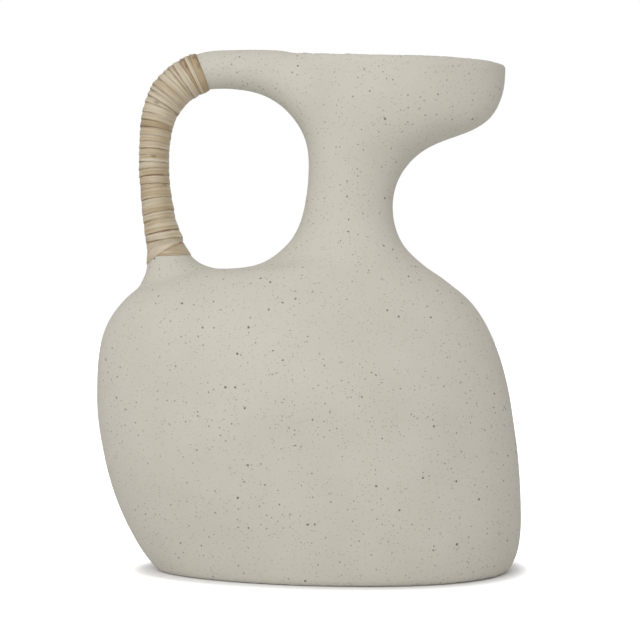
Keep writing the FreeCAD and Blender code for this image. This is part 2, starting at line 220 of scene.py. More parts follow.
# How far the foot stands forward and back, as a share of its depth, from left to right.
FOOT_COLUMNS = (150, 180, 230, 290, 345, 440, 500, 520)
FOOT_DEPTHS = (0.88, 0.89, 0.94, 1.00, 1.05, 1.16, 1.22, 1.22)
FOOT_RISE = 0.075


def made_plain(piece):
    # The piece's modifiers are carried out and its mesh is what they gave.
    seen_piece = piece.evaluated_get(bpy.context.evaluated_depsgraph_get())
    plain = bpy.data.meshes.new_from_object(seen_piece)
    piece.modifiers.clear()
    piece.data = plain


clay = bpy.data.objects.new("jug_clay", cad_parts["vessel"].data.copy())
scene.collection.objects.link(clay)
clay_shape = bmesh.new()
clay_shape.from_mesh(clay.data)
bmesh.ops.remove_doubles(clay_shape, verts=clay_shape.verts, dist=MERGE_DISTANCE)
clay_shape.transform(GRAIN_TURN)
clay_shape.to_mesh(clay.data)
clay_shape.free()
clay_body = clay.modifiers.new("clay_body", "REMESH")
clay_body.mode = "VOXEL"
clay_body.voxel_size = CLAY_GRAIN
made_plain(clay)
clay.data.transform(GRAIN_TURN.inverted())
skin = clay.modifiers.new("skin", "SHRINKWRAP")
skin.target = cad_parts["vessel"]
skin.wrap_method = "NEAREST_SURFACEPOINT"
sponge = clay.modifiers.new("sponge", "SMOOTH")
sponge.factor = SMOOTHING
sponge.iterations = SPONGE_ROUNDS
made_plain(clay)


def vertex_places(mesh):
    flat = np.empty(len(mesh.vertices) * 3)
    mesh.vertices.foreach_get("co", flat)
    return flat.reshape(-1, 3)


# Where the arm of the handle runs into the neck, the join is worked over until none shows.
places = vertex_places(clay.data)
join_distance = np.linalg.norm((places - JOIN_PLACE) / JOIN_REACH, axis=1)
join_share = np.clip(JOIN_STEEPNESS * (1 - join_distance), 0, 1)
join_share *= np.clip((JOIN_TOP - places[:, 2]) / JOIN_FADE, 0, 1)
join = clay.vertex_groups.new(name="join")
for step in range(1, JOIN_LEVELS + 1):
    chosen = np.flatnonzero(np.round(join_share * JOIN_LEVELS) == step)
    join.add(chosen.tolist(), step / JOIN_LEVELS, "REPLACE")
worked = clay.modifiers.new("worked_over", "SMOOTH")
worked.vertex_group = "join"
worked.factor = SMOOTHING
worked.iterations = JOIN_ROUNDS
made_plain(clay)
clay.vertex_groups.clear()

# Pressed to line all round, and at the foot forward and back.
places = vertex_places(clay.data)
press_columns = places[:, 0] / METRES_PER_PIXEL + MIDDLE_COLUMN
press_rows = FLOOR_ROW - places[:, 2] / METRES_PER_PIXEL
pressed = np.zeros((len(places), 2))
press_share = np.full(len(places), PRESS_FADE)
for column, row, right, down in PRESSES:
    share = np.exp(-((press_columns - column) ** 2 + (press_rows - row) ** 2) / PRESS_REACH ** 2)
    pressed += share[:, None] * (right, -down)
    press_share += share
pressed *= METRES_PER_PIXEL / press_share[:, None]
foot_depth = np.interp(press_columns, FOOT_COLUMNS, FOOT_DEPTHS)
foot_fade = np.clip(1 - places[:, 2] / FOOT_RISE, 0, 1)
places[:, 1] *= 1 + (foot_depth - 1) * foot_fade * foot_fade * (3 - 2 * foot_fade)
places[:, 0] += pressed[:, 0]
places[:, 2] += pressed[:, 1]
clay.data.vertices.foreach_set("co", places.ravel())
clay.data.update()

places = vertex_places(clay.data)
normals = np.empty(len(clay.data.vertices) * 3)
clay.data.vertex_normals.foreach_get("vector", normals)
swell = np.array([noise.noise(Vector(place) / UNEVEN_LENGTH) for place in places])
foot_share = np.clip(places[:, 2:] / UNEVEN_LENGTH, 0, 1)
places += normals.reshape(-1, 3) * swell[:, None] * UNEVENNESS * foot_share
clay.data.vertices.foreach_set("co", places.ravel())
clay.data.shade_smooth()
clay.data.update()

# Iron specks in the clay: where the surface cuts a grain, a dark dot shows. The dots are bent a
# little out of round, differ in size, and drift from crowded to sparse.
SPECK_BEND = 0.0007
SPECK_BENDS_PER_METRE = 900.0
SPECK_SIZES = (0.55, 0.9)
SPECK_CROWDING = (-0.2, 2.4)
CROWDS_PER_METRE = 45.0


def vector_calc(tree, operation, *values):
    return put(tree, "ShaderNodeVectorMath", dict(enumerate(values)), operation=operation).outputs[0]


def noise_of(tree, place, repeats, detail):
    return put(tree, "ShaderNodeTexNoise", {"Vector": place, "Scale": repeats, "Detail": detail}).outputs[0]


specks = bpy.data.node_groups.new("iron_specks", "ShaderNodeTree")
specks.interface.new_socket("Place", in_out="INPUT", socket_type="NodeSocketVector")
for speck_input in ("Spacing", "Radius", "Softness", "Share"):
    specks.interface.new_socket(speck_input, in_out="INPUT", socket_type="NodeSocketFloat")
specks.interface.new_socket("Mask", in_out="OUTPUT", socket_type="NodeSocketFloat")
speck_in = put(specks, "NodeGroupInput").outputs
speck_bend = put(
    specks, "ShaderNodeTexNoise",
    {"Vector": speck_in["Place"], "Scale": SPECK_BENDS_PER_METRE, "Detail": 1.0}).outputs["Color"]
speck_shift = vector_calc(specks, "SUBTRACT", speck_bend, (0.5, 0.5, 0.5))
speck_place = vector_calc(specks, "MULTIPLY_ADD", speck_shift, (SPECK_BEND,) * 3, speck_in["Place"])
grains = put(
    specks, "ShaderNodeTexVoronoi",
    {"Vector": speck_place, "Scale": calc(specks, "DIVIDE", 1.0, speck_in["Spacing"])})
grain_random = put(specks, "ShaderNodeSeparateColor", {"Color": grains.outputs["Color"]}).outputs
grain_distance = calc(specks, "MULTIPLY", grains.outputs["Distance"], speck_in["Spacing"])
grain_size = calc(specks, "MULTIPLY_ADD", grain_random["Red"], SPECK_SIZES[1], SPECK_SIZES[0])
grain_radius = calc(specks, "MULTIPLY", speck_in["Radius"], grain_size)
speck_dot = put(
    specks, "ShaderNodeMapRange",
    {
        "Value": grain_distance,
        "From Min": calc(specks, "SUBTRACT", grain_radius, speck_in["Softness"]),
        "From Max": calc(specks, "ADD", grain_radius, speck_in["Softness"]),
        "To Min": 1.0,
        "To Max": 0.0,
    },
    interpolation_type="SMOOTHSTEP").outputs[0]
drift = noise_of(specks, speck_in["Place"], CROWDS_PER_METRE, 2.0)
crowding = calc(specks, "MULTIPLY_ADD", drift, SPECK_CROWDING[1], SPECK_CROWDING[0])
share_here = calc(specks, "MULTIPLY", speck_in["Share"], crowding)
speck_there = calc(specks, "LESS_THAN", grain_random["Green"], share_here)
put(specks, "NodeGroupOutput", {"Mask": calc(specks, "MULTIPLY", speck_dot, speck_there)})


def mixed(tree, factor, first, second):
    made = put(tree, "ShaderNodeMix", {"Factor": factor, "A": first, "B": second}, data_type="RGBA")
    return live_socket(made.outputs)


def cover_with(tree, shader, colour, normal, roughness):
    for value, name in ((colour, "Base Color"), (normal, "Normal"), (roughness, "Roughness")):
        tree.links.new(value, shader.inputs[name])


# The fired clay: a warm grey, cloudy in the large and dusty in the small, with a dry, pitted skin.
CLAY_LIGHT = (0.535, 0.508, 0.445, 1)
CLAY_DARK = (0.485, 0.455, 0.392, 1)
SPECK_COLOUR = (0.085, 0.075, 0.062, 1)
# Spacing, radius and softness in metres, share of the places that are filled, and how dark.
SPECK_SORTS = (
    (0.00130, 0.00021, 0.00013, 0.95, 0.40),
    (0.0026, 0.00030, 0.00012, 0.95, 0.56),
    (0.0052, 0.00042, 0.00012, 0.85, 0.76),
)
CLOUDS_PER_METRE = 28.0
CLOUD_TONE = (1.6, -0.55)
DUST_PER_METRE = 1400.0
DUST_TONE = (0.5, -0.25)
DUST_HEIGHT = 0.5
PIT_DEPTH = 0.6
DIMPLES_PER_METRE = 380.0
CLAY_BUMP = 0.35
CLAY_BUMP_DISTANCE = 0.0001
CLAY_ROUGHNESS = (0.1, 0.83)
CLAY_SHINE = 0.3
stoneware, ware, ware_shader = new_finish("stoneware")
ware_place = put(ware, "ShaderNodeTexCoord").outputs["Object"]
cloud = put(
    ware, "ShaderNodeTexNoise",
    {"Vector": ware_place, "Scale": CLOUDS_PER_METRE, "Detail": 4.0, "Roughness": 0.6}).outputs[0]
dust = noise_of(ware, ware_place, DUST_PER_METRE, 2.0)
tone = calc(
    ware, "ADD", calc(ware, "MULTIPLY_ADD", cloud, *CLOUD_TONE), calc(ware, "MULTIPLY_ADD", dust, *DUST_TONE))
colour = mixed(ware, tone, CLAY_LIGHT, CLAY_DARK)
pits = 0.0
for spacing, radius, softness, share, strength in SPECK_SORTS:
    sort = put(
        ware, "ShaderNodeGroup",
        {"Place": ware_place, "Spacing": spacing, "Radius": radius, "Softness": softness, "Share": share},
        node_tree=specks)
    mask = calc(ware, "MULTIPLY", sort.outputs["Mask"], strength)
    colour = mixed(ware, mask, colour, SPECK_COLOUR)
    pits = calc(ware, "ADD", mask, pits)
dimples = noise_of(ware, ware_place, DIMPLES_PER_METRE, 3.0)
relief = calc(
    ware, "SUBTRACT",
    calc(ware, "MULTIPLY_ADD", dust, DUST_HEIGHT, dimples), calc(ware, "MULTIPLY", pits, PIT_DEPTH))
surface = put(
    ware, "ShaderNodeBump",
    {"Strength": CLAY_BUMP, "Distance": CLAY_BUMP_DISTANCE, "Height": relief}).outputs[0]
cover_with(ware, ware_shader, colour, surface, calc(ware, "MULTIPLY_ADD", dimples, *CLAY_ROUGHNESS))
ware_shader.inputs["Specular IOR Level"].default_value = CLAY_SHINE
clay.data.materials.clear()
clay.data.materials.append(stoneware)
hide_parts("vessel")
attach(clay, "root")


# The cane: one long strip of peeled cane, laid on damp and wound up the handle from its lower end to
# the top of the arch. Each turn lies over the upper part of the one below it, and both ends are
# tucked in at the back. It has brown nodes, and edges darkened partly by stain and partly by painted shadow.
CANE_WIDTH = 0.0082
CANE_THICKNESS = 0.00034
CANE_CLEARANCE = 0.00003
EDGE_THICKNESS_SHARE = 0.15
BEVEL_SHARE = 0.11
STEPS_PER_TURN = 72
LAYERS = 4
MIDDLE_STEPS = 24
# The middle of the handle, in pixels of the picture, from below its root to past the wrap.
HANDLE_MIDDLE = (
    (170.4, 280), (167.6, 268), (164.8, 255), (161.6, 240), (157.3, 218), (154.5, 190), (154, 165),
    (155, 140), (159, 118), (168, 99), (180.5, 84.5), (194.5, 74.5), (210, 69.5), (226, 68.5),
)
# The lower edge of each turn where it shows in front, from the bottom up: where it meets the outer
# and the inner side of the handle, in pixels, how dark it is at both, and how brown the turn is.
TURN_EDGES = (
    (148.0, 257.0, 189.8, 255.7, 0.2, 0.3, 0.60),
    (147.4, 265.0, 183.0, 242.2, 0.3, 0.5, 0.30),
    (147.8, 250.7, 179.0, 242.0, 0.1, 0.1, 0.25),
    (147.4, 246.8, 178.6, 240.9, 0.2, 0.1, 0.30),
    (147.0, 243.5, 178.2, 239.4, 0.9, 0.5, 0.35),
    (145.5, 236.2, 178.0, 230.0, 0.8, 1.0, 0.40),
    (144.9, 223.7, 174.0, 217.5, 0.5, 0.1, 0.40),
    (143.7, 216.4, 172.4, 210.7, 0.6, 0.5, 0.55),
    (142.2, 201.5, 170.5, 197.7, 0.8, 0.4, 0.62),
    (141.0, 185.4, 168.7, 184.6, 0.7, 0.9, 0.60),
    (140.3, 178.0, 168.7, 176.2, 1.0, 1.0, 0.50),
    (139.9, 171.3, 168.7, 169.2, 0.3, 0.1, 0.50),
    (139.9, 162.9, 168.7, 164.6, 1.0, 0.4, 0.40),
    (140.3, 155.9, 168.7, 158.0, 0.3, 0.4, 0.50),
    (140.4, 149.5, 168.7, 151.3, 0.5, 1.0, 0.30),
    (140.6, 142.1, 168.7, 145.3, 0.3, 0.3, 0.33),
    (141.3, 135.4, 168.3, 140.0, 0.4, 0.2, 0.38),
    (141.3, 127.4, 170.0, 132.6, 1.0, 0.5, 0.95),
    (142.0, 119.6, 171.5, 127.4, 0.6, 0.4, 0.40),
    (143.8, 112.0, 173.0, 121.5, 0.3, 0.3, 0.25),
    (145.2, 102.2, 175.4, 115.6, 0.4, 0.9, 0.20),
    (149.5, 95.5, 176.2, 114.2, 0.6, 1.0, 0.20),
    (151.3, 89.6, 179.0, 110.0, 0.8, 0.2, 0.25),
    (156.6, 87.5, 180.8, 107.1, 0.4, 1.0, 0.20),
    (159.4, 79.0, 184.2, 102.8, 0.4, 0.3, 0.25),
    (163.6, 72.4, 189.0, 100.0, 0.5, 0.1, 0.15),
    (169.3, 70.7, 192.4, 98.0, 0.6, 0.5, 0.30),
    (173.0, 65.7, 193.4, 96.4, 0.6, 1.0, 0.10),
    (180.7, 62.5, 198.4, 92.4, 0.5, 0.8, 0.85),
    (185.3, 60.8, 200.4, 91.2, 0.7, 1.0, 0.15),
    (189.8, 56.6, 203.6, 90.2, 0.7, 0.4, 1.00),
)
WRAP_END = (196.5, 54.5, 209.1, 88.2)
# Nodes that show in front: the turn they are in, and where.
CANE_NODES = (
    (9, 165.5, 186.5), (11, 140.5, 171.8), (13, 156.0, 158.5), (21, 159.0, 105.5), (29, 184.0, 64.0),
    (29, 189.5, 71.0), (31, 196.5, 62.0), (31, 200.5, 70.0),
)
NODE_TALL = 0.0009
NODE_SPACING = (0.06, 0.11)
NODE_LENGTH = 0.0013
NODE_SHOWN_SHARE = 0.2
BACK_SHARE = 0.3
FIRST_TURN = 0.25
LAST_TURN = len(TURN_EDGES) + 0.35
CANE_SEED = 11
random.seed(CANE_SEED)

clay_surface = BVHTree.FromPolygons(
    [vertex.co.copy() for vertex in clay.data.vertices],
    [tuple(face.vertices) for face in clay.data.polygons])
guide = [at_pixel(*place) for place in HANDLE_MIDDLE]
guide = [guide[0] * 2 - guide[1]] + guide + [guide[-1] * 2 - guide[-2]]
middle = []
for before, here, there, after in zip(guide, guide[1:], guide[2:], guide[3:]):
    for step in range(MIDDLE_STEPS):
        s = step / MIDDLE_STEPS
        middle.append(
            (here * 2 + (there - before) * s + (before * 2 - here * 5 + there * 4 - after) * s * s
             + (here * 3 - before - there * 3 + after) * s * s * s) / 2)


def outward_at(row):
    along = (middle[min(row + 1, len(middle) - 1)] - middle[max(row - 1, 0)]).normalized()
    return Vector((-along.z, 0, along.x))


stations = [0.0]
for before, after in zip(middle, middle[1:]):
    stations.append(stations[-1] + (after - before).length)


def station_of(column, row):
    # How far up the handle a place in the picture is: where the middle line comes nearest to it.
    place = at_pixel(column, row)
    best = (math.inf, 0.0)
    for low, high, low_station in zip(middle, middle[1:], stations):
        step = high - low
        share = min(max((place - low).dot(step) / step.length_squared, 0), 1)
        best = min(best, ((low + step * share - place).length, low_station + step.length * share))
    return best[1]


def on_handle(station, angle):
    # The place on the clay at this station and angle round the handle, 0 being the outer side.
    upper = next((row for row in range(1, len(stations) - 1) if stations[row] >= station), len(stations) - 1)
    share = (station - stations[upper - 1]) / (stations[upper] - stations[upper - 1])
    centre = middle[upper - 1].lerp(middle[upper], share)
    outward = outward_at(upper - 1).lerp(outward_at(upper), share).normalized()
    direction = outward * math.cos(angle) + Vector((0, math.sin(angle), 0))
    hit, normal = clay_surface.ray_cast(centre, direction)[:2]
    if normal.dot(direction) < 0:
        normal.negate()
    return hit, normal


def thickness_share(across):
    # Peeled cane is thin at both edges.
    bevel = min(across, 1 - across, BEVEL_SHARE) / BEVEL_SHARE
    return EDGE_THICKNESS_SHARE + (1 - EDGE_THICKNESS_SHARE) * math.sin(bevel * math.pi / 2)


def eased(low, high, share):
    return low + (high - low) * (1 - math.cos(math.pi * share)) / 2


# Values at each half turn: the inner side first, then the outer side of the same edge.
lower_stations = []
darknesses = []
browns = []
for outer_x, outer_y, inner_x, inner_y, outer_dark, inner_dark, brown in TURN_EDGES:
    lower_stations += [station_of(inner_x, inner_y), station_of(outer_x, outer_y)]
    darknesses += [inner_dark, outer_dark]
    browns += [brown, brown]
end_outer = station_of(*WRAP_END[:2])
end_inner = station_of(*WRAP_END[2:])


def at_turn(values, turn):
    half = min(max(turn * 2 - 1, 0), len(values) - 1)
    low = min(int(half), len(values) - 2)
    return eased(values[low], values[low + 1], half - low)


def top_of(layers, station):
    # How high the cane that is already laid stands off the clay here.
    tops = [0.0]
    for under in layers:
        if under.low <= station <= under.high:
            share = (station - under.low) / (under.high - under.low)
            under_lift = under.low_lift + (under.high_lift - under.low_lift) * share
            tops.append(under_lift + CANE_THICKNESS * thickness_share(share))
    return max(tops) + CANE_CLEARANCE


strip = []
step_count = int((LAST_TURN - FIRST_TURN) * STEPS_PER_TURN)
for step in range(step_count + 1):
    turn = FIRST_TURN + step / STEPS_PER_TURN
    angle = math.tau * turn
    low = at_turn(lower_stations, turn)
    wrap_end = eased(end_outer, end_inner, (1 - math.cos(angle)) / 2)
    high = min(low + CANE_WIDTH, wrap_end)
    laid = [
        strip[step - STEPS_PER_TURN * layer]
        for layer in range(1, LAYERS + 1) if step >= STEPS_PER_TURN * layer]
    strip.append(SimpleNamespace(
        angle=angle, low=low, high=high, low_lift=top_of(laid, low), high_lift=top_of(laid, high),
        dark=at_turn(darknesses, turn), next_dark=at_turn(darknesses, turn + 1), brown=at_turn(browns, turn),
        next_low=at_turn(lower_stations, turn + 1) if turn + 1 < LAST_TURN else wrap_end))

lay_mesh = bpy.data.meshes.new("lay_of_cane")
low_places, low_normals, spans, high_normals, run = [], [], [], [], [0.0]
for here in strip:
    low_place, low_normal = on_handle(here.low, here.angle)
    high_place, high_normal = on_handle(here.high, here.angle)
    if low_places:
        run.append(run[-1] + (low_place - low_places[-1]).length)
    low_places.append(low_place)
    low_normals.append(low_normal)
    spans.append(high_place - low_place)
    high_normals.append(high_normal)
lay_mesh.from_pydata(low_places, [(i, i + 1) for i in range(len(strip) - 1)], [])
along = [(after - before).normalized() for before, after in zip(low_places, low_places[1:])]
along.append(along[-1])


def keep_values(mesh, name, values):
    kind = "FLOAT_VECTOR" if isinstance(values[0], Vector) else "FLOAT"
    attribute = mesh.attributes.new(name, kind, "POINT")
    flat = [part for value in values for part in value] if kind == "FLOAT_VECTOR" else values
    attribute.data.foreach_set("vector" if kind == "FLOAT_VECTOR" else "value", flat)


# Nodes of the cane: where the picture shows one, and on its back about as far apart as they grow.
node_runs = []
node_lows = []
for turn, column, row in CANE_NODES:
    wanted = at_pixel(column, row)
    steps = range(int((turn - 0.5 - FIRST_TURN) * STEPS_PER_TURN), int((turn - FIRST_TURN) * STEPS_PER_TURN))
    nearest = min(
        steps, key=lambda step: (low_places[step] + spans[step] * NODE_SHOWN_SHARE - wanted).xz.length)
    node_runs.append(run[nearest])
    node_lows.append(max(station_of(column, row) - strip[nearest].low, 0.0))
next_node = 0.0
while next_node < run[-1]:
    next_node += random.uniform(*NODE_SPACING)
    node_step = next((step for step, here_run in enumerate(run) if here_run > next_node), len(run) - 1)
    if math.sin(strip[node_step].angle) > BACK_SHARE:
        node_runs.append(next_node)
        node_lows.append(random.uniform(0.0, CANE_WIDTH / 2))
nearest_nodes = [min(range(len(node_runs)), key=lambda n: abs(node_runs[n] - here_run)) for here_run in run]
node_marks = [
    math.exp(-((here_run - node_runs[n]) / NODE_LENGTH) ** 2) for here_run, n in zip(run, nearest_nodes)]
open_ends = [min(step, len(strip) - 1 - step, 1) for step in range(len(strip))]
for name, values in (
        ("span", spans), ("along", along), ("low_normal", low_normals), ("high_normal", high_normals),
        ("run", run), ("low_lift", [here.low_lift for here in strip]),
        ("high_lift", [here.high_lift for here in strip]), ("full", [float(value) for value in open_ends]),
        ("node", node_marks), ("node_low", [node_lows[n] for n in nearest_nodes]),
        ("dark", [here.dark for here in strip]), ("next_dark", [here.next_dark for here in strip]),
        ("brown", [here.brown for here in strip]),
        ("cover", [max(here.next_low - here.low, 0.0) for here in strip])):
    keep_values(lay_mesh, name, values)
lay = bpy.data.objects.new("lay_of_cane", lay_mesh)

# The strip's section, as shares of its width and thickness, closed by its first point.
TOP_POINTS = 22
UNDER_POINTS = 6
EDGE_ROUND_SHARE = 0.006
FLAT_SHARE = 1 - EDGE_ROUND_SHARE * 2
top_across = [EDGE_ROUND_SHARE + FLAT_SHARE * i / (TOP_POINTS - 1) for i in range(TOP_POINTS)]
section = [(0, EDGE_THICKNESS_SHARE / 2)]
section += [(across, thickness_share(across)) for across in top_across]
section.append((1, EDGE_THICKNESS_SHARE / 2))
section += [(1 - EDGE_ROUND_SHARE - FLAT_SHARE * i / (UNDER_POINTS - 1), 0.0) for i in range(UNDER_POINTS)]
section.append(section[0])
section_mesh = bpy.data.meshes.new("section_of_cane")
section_mesh.from_pydata([(x, y, 0) for x, y in section], [(i, i + 1) for i in range(len(section) - 1)], [])
section_object = bpy.data.objects.new("section_of_cane", section_mesh)

# The section is drawn along the lay, with relief along the fibres and edges that wander a little.
FIBRE_RELIEF = 0.00016
FIBRES_IN_RELIEF = (40.0, 2400.0, 0.0)
EDGE_WANDER = 0.0005
WANDERS_PER_METRE = 220.0
STRIP_MERGE = 0.000002
winding = bpy.data.node_groups.new("cane_winding", "GeometryNodeTree")
winding.is_modifier = True
for name, kind in (
        ("Geometry", "Geometry"), ("Lay", "Object"), ("Section", "Object"), ("Thickness", "Float"),
        ("Fibre Relief", "Float"), ("Edge Wander", "Float"), ("Finish", "Material")):
    winding.interface.new_socket(name, in_out="INPUT", socket_type="NodeSocket" + kind)
winding.interface.new_socket("Geometry", in_out="OUTPUT", socket_type="NodeSocketGeometry")
wind_in = put(winding, "NodeGroupInput").outputs
lay_shape = put(winding, "GeometryNodeObjectInfo", {"Object": wind_in["Lay"]}).outputs["Geometry"]
section_shape = put(winding, "GeometryNodeObjectInfo", {"Object": wind_in["Section"]}).outputs["Geometry"]
lay_count, section_count = (
    put(winding, "GeometryNodeAttributeDomainSize", {"Geometry": shape}).outputs["Point Count"]
    for shape in (lay_shape, section_shape))
strip_grid = put(winding, "GeometryNodeMeshGrid", {"Vertices X": lay_count, "Vertices Y": section_count})
grid_index = put(winding, "GeometryNodeInputIndex").outputs[0]
lay_share = calc(winding, "DIVIDE", calc(winding, "ADD", grid_index, 0.5), section_count)
lay_index = calc(winding, "FLOOR", lay_share)
section_index = calc(winding, "SUBTRACT", grid_index, calc(winding, "MULTIPLY", lay_index, section_count))


def scaled(tree, vector, factor):
    return put(
        tree, "ShaderNodeVectorMath", {"Vector": vector, "Scale": factor}, operation="SCALE").outputs[0]


def sampled(shape, index, value, kind):
    taken = put(
        winding, "GeometryNodeSampleIndex",
        {"Geometry": shape, "Index": index, "Value": value}, data_type=kind)
    return live_socket(taken.outputs)


def from_lay(name, kind="FLOAT"):
    kept = put(winding, "GeometryNodeInputNamedAttribute", {"Name": name}, data_type=kind)
    return sampled(lay_shape, lay_index, live_socket(kept.outputs, "Attribute"), kind)


place_in = put(winding, "GeometryNodeInputPosition").outputs[0]
lay_place = sampled(lay_shape, lay_index, place_in, "FLOAT_VECTOR")
section_place = put(
    winding, "ShaderNodeSeparateXYZ",
    {"Vector": sampled(section_shape, section_index, place_in, "FLOAT_VECTOR")}).outputs
full = from_lay("full")
across = calc(winding, "MULTIPLY_ADD", calc(winding, "SUBTRACT", section_place["X"], 0.5), full, 0.5)
span = from_lay("span", "FLOAT_VECTOR")
width = put(winding, "ShaderNodeVectorMath", {0: span}, operation="LENGTH").outputs["Value"]
across_metres = calc(winding, "MULTIPLY", across, width)
run_metres = from_lay("run")
strip_place = put(winding, "ShaderNodeCombineXYZ", {"X": run_metres, "Y": across_metres}).outputs[0]
side = put(
    winding, "ShaderNodeMix",
    {
        "Factor": across, "A": from_lay("low_normal", "FLOAT_VECTOR"),
        "B": from_lay("high_normal", "FLOAT_VECTOR"),
    }, data_type="VECTOR")
side_out = vector_calc(winding, "NORMALIZE", live_socket(side.outputs))
lift = put(
    winding, "ShaderNodeMapRange",
    {"Value": across, "To Min": from_lay("low_lift"), "To Max": from_lay("high_lift")}).outputs[0]
fibre_place = vector_calc(winding, "MULTIPLY", strip_place, FIBRES_IN_RELIEF)
fibre = noise_of(winding, fibre_place, 1.0, 2.0)
fibre_lift = calc(winding, "MULTIPLY", calc(winding, "SUBTRACT", fibre, 0.5), wind_in["Fibre Relief"])
height = calc(
    winding, "MULTIPLY", full,
    calc(winding, "MULTIPLY", section_place["Y"], calc(winding, "ADD", wind_in["Thickness"], fibre_lift)))
rise = calc(winding, "ADD", lift, height)
wander_place = scaled(winding, strip_place, WANDERS_PER_METRE)
wander = noise_of(winding, wander_place, 1.0, 3.0)
wander_metres = calc(winding, "MULTIPLY", calc(winding, "SUBTRACT", wander, 0.5), wind_in["Edge Wander"])
along_handle = vector_calc(winding, "NORMALIZE", span)
on_clay = vector_calc(winding, "ADD", lay_place, scaled(winding, span, across))
off_clay = vector_calc(
    winding, "ADD", scaled(winding, side_out, rise), scaled(winding, along_handle, wander_metres))
strip_point = vector_calc(winding, "ADD", on_clay, off_clay)
woven = put(
    winding, "GeometryNodeSetPosition",
    {"Geometry": strip_grid.outputs["Mesh"], "Position": strip_point}).outputs[0]
woven = put(winding, "GeometryNodeFlipFaces", {"Mesh": woven}).outputs[0]
for name, value in (
        ("dark", from_lay("dark")), ("next_dark", from_lay("next_dark")), ("brown", from_lay("brown")),
        ("cover", from_lay("cover")), ("node", from_lay("node")), ("node_low", from_lay("node_low"))):
    woven = put(
        winding, "GeometryNodeStoreNamedAttribute", {"Geometry": woven, "Name": name, "Value": value},
        data_type="FLOAT", domain="POINT").outputs[0]
for name, value in (("strip", strip_place), ("along", from_lay("along", "FLOAT_VECTOR"))):
    woven = put(
        winding, "GeometryNodeStoreNamedAttribute", {"Geometry": woven, "Name": name, "Value": value},
        data_type="FLOAT_VECTOR", domain="POINT").outputs[0]
woven = put(winding, "GeometryNodeMergeByDistance", {"Geometry": woven, "Distance": STRIP_MERGE}).outputs[0]
woven = put(winding, "GeometryNodeSetShadeSmooth", {"Geometry": woven}).outputs[0]
woven = put(winding, "GeometryNodeRealizeInstances", {"Geometry": woven}).outputs[0]
woven = put(winding, "GeometryNodeSetMaterial", {"Geometry": woven, "Material": wind_in["Finish"]}).outputs[0]
put(winding, "NodeGroupOutput", {"Geometry": woven})

# The cane's finish: cream, with fine lengthwise fibres, brown bands, and dark lines at each turn's edge
# that are partly the stain of the soaking gathered there and partly painted shadow where the edge shades the
# turn below.
CANE_CREAM = (0.560, 0.500, 0.390, 1)
CANE_TAN = (0.380, 0.293, 0.176, 1)
CANE_BROWN = (0.285, 0.195, 0.120, 1)
# The dark of the stain, used for the brown nodes and for the edge lines, which are partly painted shadow.
CANE_STAIN_AND_SHADE = (0.165, 0.095, 0.045, 1)
# How often each pattern repeats in a metre, along and across the strip, and its detail.
FINE_STREAKS = (45.0, 2600.0, 4.0)
BROAD_STREAKS = (30.0, 900.0, 3.0)
PATCHES = (110.0, 240.0, 2.0)
LINE_BREAKS = (140.0, 60.0, 3.0)
NODE_GRAIN = (500.0, 1500.0, 2.0)
# Where each shade starts and is full, with the least and most of it where they aren't 0 and 1.
TAN_LEVELS = (0.0, 0.75)
BROWN_LEVELS = (0.6, 1.3)
FINE_LEVELS = (0.38, 0.64, 0.0, 0.6)
EDGE_LEVELS = (0.2, 1.0, 1.0, 0.0)
UNDER_LEVELS = (0.1, 1.1, 1.0, 0.0)
BREAK_LEVELS = (0.36, 0.58, 0.40, 1.0)
NODE_GRAIN_LEVELS = (0.30, 0.55)
BROAD_TONE = (1.9, -1.02)
PATCH_TONE = (0.7, -0.35)
EDGE_LINE_WIDTH = (0.0009, 0.00005)
UNDER_LINE_SHARE = 1.2
NODE_STRENGTH = 0.85
BROAD_HEIGHT = 0.8
CANE_BUMP = 0.5
CANE_BUMP_DISTANCE = 0.00008
CANE_ROUGHNESS = (0.25, 0.42)
CANE_SHINE = 0.4
peeled_cane, peel, cane_shader = new_finish("peeled_cane")


def stored(name, output="Fac"):
    return put(peel, "ShaderNodeAttribute", attribute_name=name).outputs[output]


strip_vector = stored("strip", "Vector")
strip_parts = put(peel, "ShaderNodeSeparateXYZ", {"Vector": strip_vector}).outputs


def streaks(lengthwise, crosswise, detail):
    streak_place = vector_calc(peel, "MULTIPLY", strip_vector, (lengthwise, crosswise, 0.0))
    return noise_of(peel, streak_place, 1.0, detail)


def ramped(value, low, high, first=0.0, last=1.0):
    return put(
        peel, "ShaderNodeMapRange",
        {"Value": value, "From Min": low, "From Max": high, "To Min": first, "To Max": last},
        interpolation_type="SMOOTHSTEP").outputs[0]


fine_streak = streaks(*FINE_STREAKS)
broad_streak = streaks(*BROAD_STREAKS)
patch = streaks(*PATCHES)
streak_tone = calc(
    peel, "ADD", calc(peel, "MULTIPLY_ADD", broad_streak, *BROAD_TONE),
    calc(peel, "MULTIPLY_ADD", patch, *PATCH_TONE))
brown_level = calc(peel, "ADD", stored("brown"), streak_tone)
cane_colour = mixed(peel, ramped(brown_level, *TAN_LEVELS), CANE_CREAM, CANE_TAN)
cane_colour = mixed(peel, ramped(brown_level, *BROWN_LEVELS), cane_colour, CANE_BROWN)
cane_colour = mixed(peel, ramped(fine_streak, *FINE_LEVELS), cane_colour, CANE_TAN)
# The dark line along each turn's lower edge is partly stain and partly painted shadow.
edge_width = calc(peel, "MULTIPLY_ADD", broad_streak, *EDGE_LINE_WIDTH)
from_low_edge = calc(peel, "DIVIDE", strip_parts["Y"], edge_width)
edge_line = calc(peel, "MULTIPLY", stored("dark"), ramped(from_low_edge, *EDGE_LEVELS))
